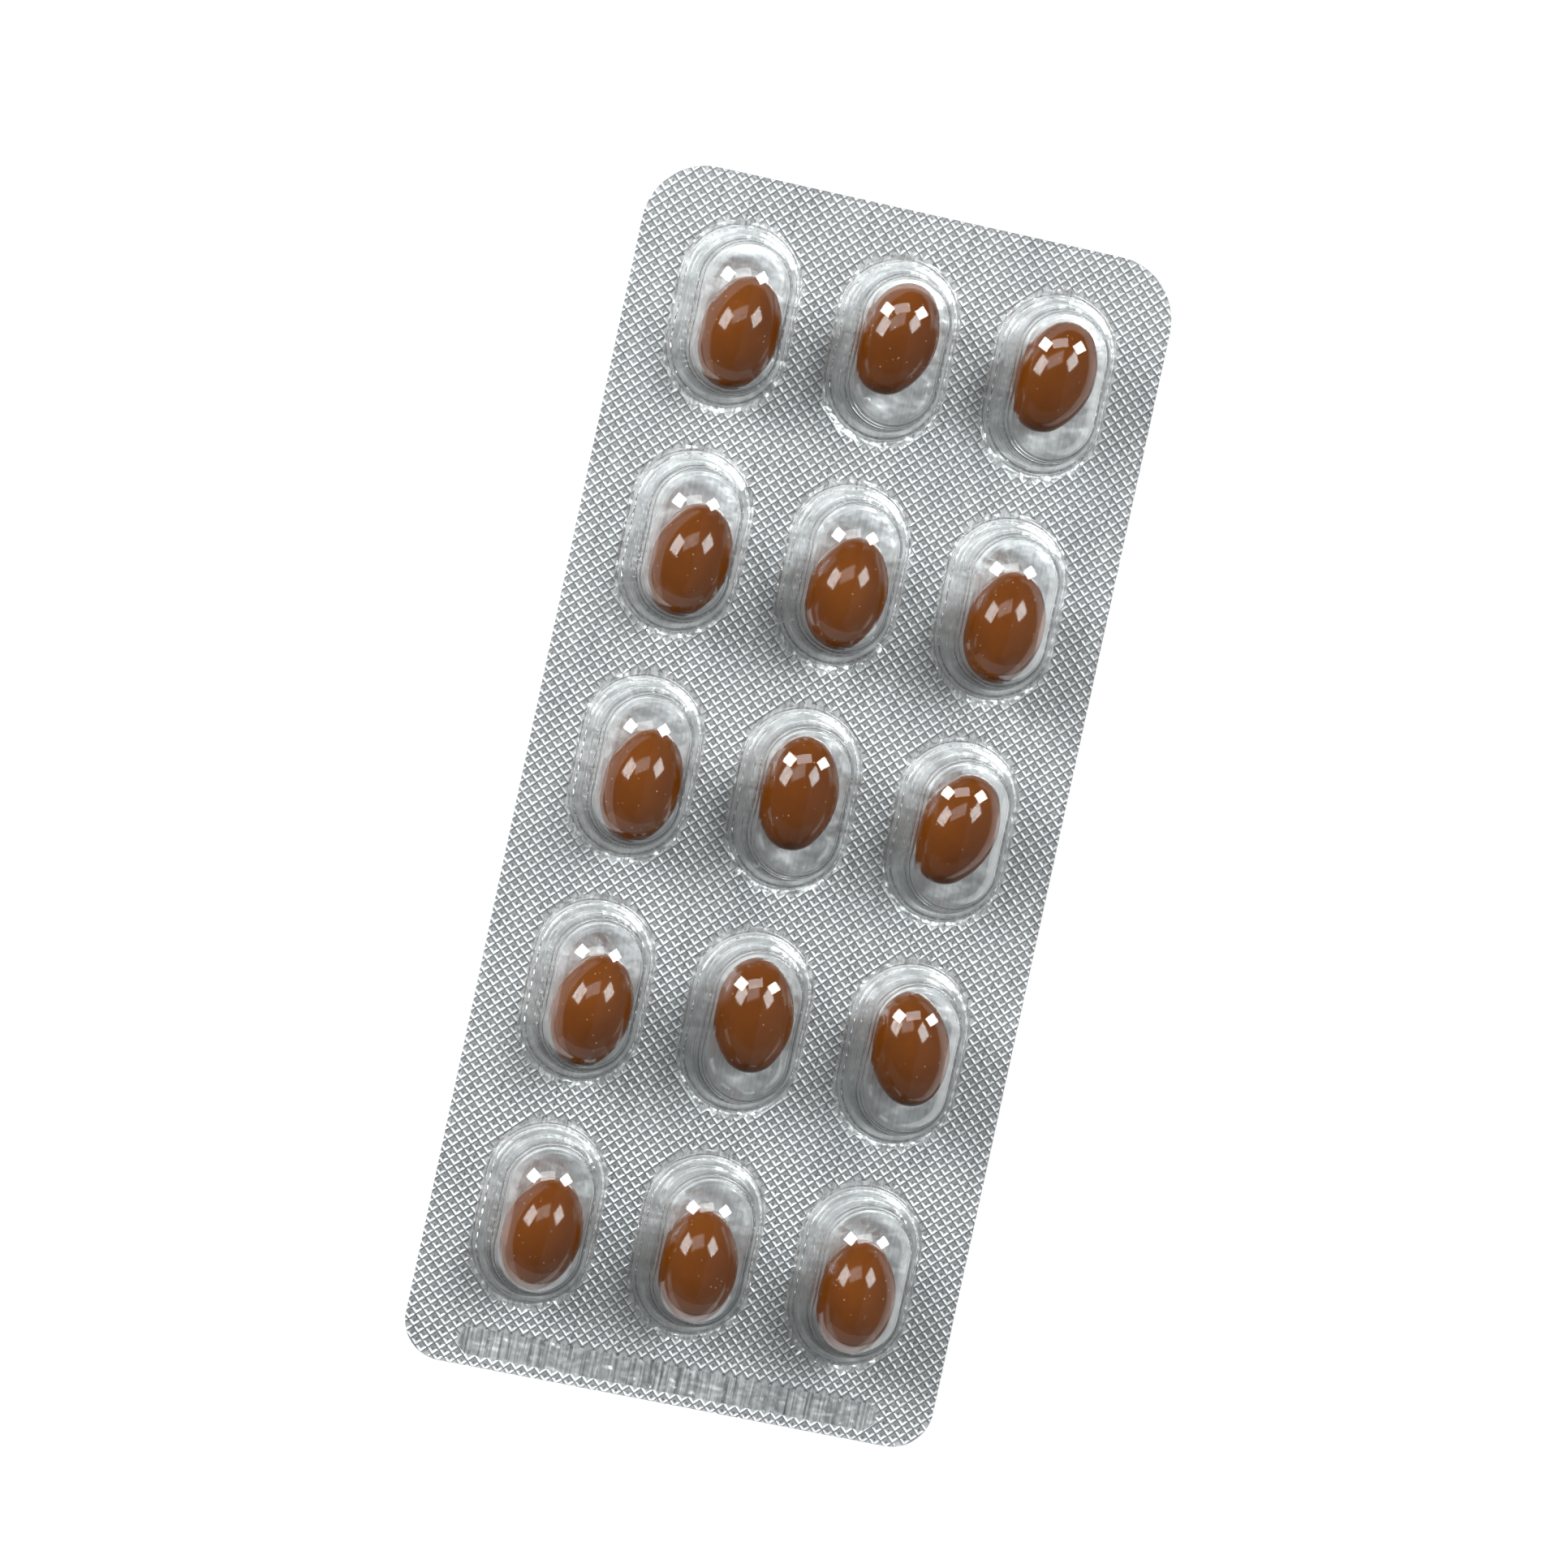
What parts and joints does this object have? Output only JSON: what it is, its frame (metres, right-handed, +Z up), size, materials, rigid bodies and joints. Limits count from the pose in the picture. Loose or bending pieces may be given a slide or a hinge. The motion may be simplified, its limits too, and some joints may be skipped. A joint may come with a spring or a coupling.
{
  "type": "pill blister pack",
  "caption": "Flat card with rounded corners: clear stepped film pockets sealed to foil, each holding one brown oval softgel.",
  "frame": {"origin": "centre of the foil's underside, on the surface that the card lies on", "axes": "+X across the card, +Y along it to the plain end with the wider corner radii, +Z up through the pockets"},
  "size_m": [0.054, 0.1204, 0.0084],
  "materials": {
    "clear_film": "clear, glossy, thermoformed",
    "foil": "bright rolled foil, knurled where it is sealed",
    "softgel": "glossy brown gelatine"
  },
  "bodies": {
    "root": {"forming_film": "clear_film", "lidding_foil": "foil", "softgel_row1_left": "softgel", "softgel_row1_middle": "softgel", "softgel_row1_right": "softgel", "softgel_row2_left": "softgel", "softgel_row2_middle": "softgel", "softgel_row2_right": "softgel", "softgel_row3_left": "softgel", "softgel_row3_middle": "softgel", "softgel_row3_right": "softgel", "softgel_row4_left": "softgel", "softgel_row4_middle": "softgel", "softgel_row4_right": "softgel", "softgel_row5_left": "softgel", "softgel_row5_middle": "softgel", "softgel_row5_right": "softgel"}
  },
  "joints": []
}
